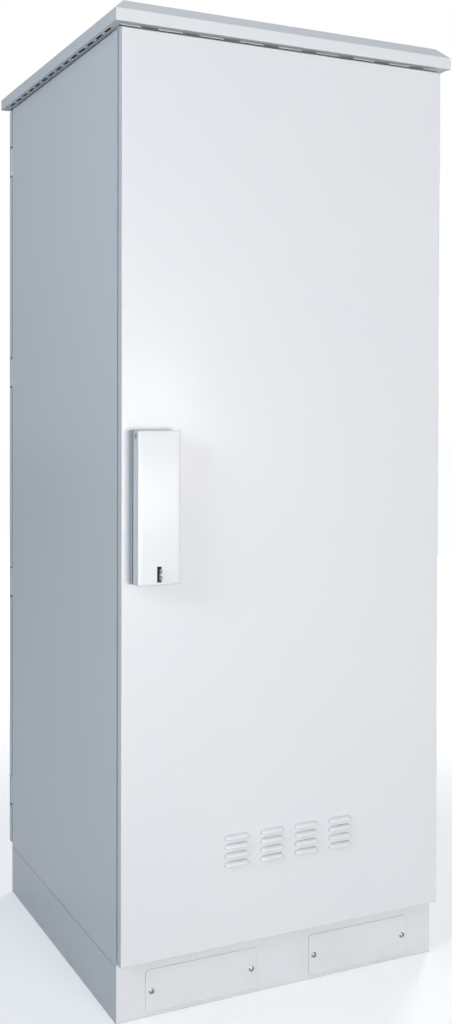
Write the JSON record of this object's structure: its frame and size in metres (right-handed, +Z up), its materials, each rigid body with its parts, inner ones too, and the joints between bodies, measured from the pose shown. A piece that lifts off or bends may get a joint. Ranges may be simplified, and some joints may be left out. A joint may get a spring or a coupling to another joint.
{
  "type": "outdoor rack cabinet",
  "caption": "Free-standing outdoor cabinet for rack equipment, with a hinged door front and rear, a lock under a lifting cover, louvres, a vented overhanging roof and a plinth",
  "frame": {"origin": "on the ground under the middle of the cabinet", "axes": "+X right as seen from the front, +Y from the front door to the rear door, +Z up"},
  "size_m": [0.838, 0.98, 2.159],
  "materials": {
    "cabinet_paint": "light grey powder coat with a fine texture",
    "zinc": "galvanised sheet",
    "steel": "plain bright steel",
    "gasket": "black foam seal",
    "handle": "black moulded lever with a metal barrel"
  },
  "bodies": {
    "cabinet": {"plinth": "cabinet_paint", "floor_plate": "zinc", "cable_entry_plate": "zinc", "ceiling_plate": "cabinet_paint", "roof_cap": "cabinet_paint", "side_panel_left": "cabinet_paint", "side_panel_right": "cabinet_paint", "depth_bars": "zinc", "soffit_sides": "cabinet_paint", "plinth_covers_front": "cabinet_paint", "door_frame_front": "cabinet_paint", "corner_posts_front": "zinc", "crossbars_front": "zinc", "rack_rails_front": "zinc", "soffit_front": "cabinet_paint", "hinge_brackets_front": "cabinet_paint", "hinge_pins_front": "steel", "plinth_covers_rear": "cabinet_paint", "door_frame_rear": "cabinet_paint", "corner_posts_rear": "zinc", "crossbars_rear": "zinc", "rack_rails_rear": "zinc", "soffit_rear": "cabinet_paint", "hinge_brackets_rear": "cabinet_paint", "hinge_pins_rear": "steel"},
    "front_door_leaf": {"front_door": "cabinet_paint", "front_door_gasket": "gasket", "front_door_stiffeners": "zinc", "front_door_knuckles": "cabinet_paint", "front_lock_case": "zinc", "front_lock_base": "cabinet_paint", "front_padlock_staple": "steel", "front_handle": "handle"},
    "front_cover": {"front_lock_cover": "cabinet_paint", "front_cover_pin": "steel"},
    "rear_door_leaf": {"rear_door": "cabinet_paint", "rear_door_gasket": "gasket", "rear_door_stiffeners": "zinc", "rear_door_knuckles": "cabinet_paint", "rear_lock_case": "zinc", "rear_lock_base": "cabinet_paint", "rear_padlock_staple": "steel", "rear_handle": "handle"},
    "rear_cover": {"rear_lock_cover": "cabinet_paint", "rear_cover_pin": "steel"}
  },
  "joints": [
    {"name": "front_door_hinge", "type": "hinge", "parent": "cabinet", "child": "front_door_leaf", "pos_m": [0.3935, -0.419, 1.115], "axis": [0, 0, 1], "range_deg": [0, 120]},
    {"name": "rear_door_hinge", "type": "hinge", "parent": "cabinet", "child": "rear_door_leaf", "pos_m": [-0.3935, 0.419, 1.115], "axis": [0, 0, 1], "range_deg": [0, 120]},
    {"name": "front_cover_hinge", "type": "hinge", "parent": "front_door_leaf", "child": "front_cover", "pos_m": [-0.334, -0.464, 1.251], "axis": [-1, 0, 0], "range_deg": [0, 105]},
    {"name": "rear_cover_hinge", "type": "hinge", "parent": "rear_door_leaf", "child": "rear_cover", "pos_m": [0.334, 0.464, 1.251], "axis": [1, 0, 0], "range_deg": [0, 105]}
  ]
}
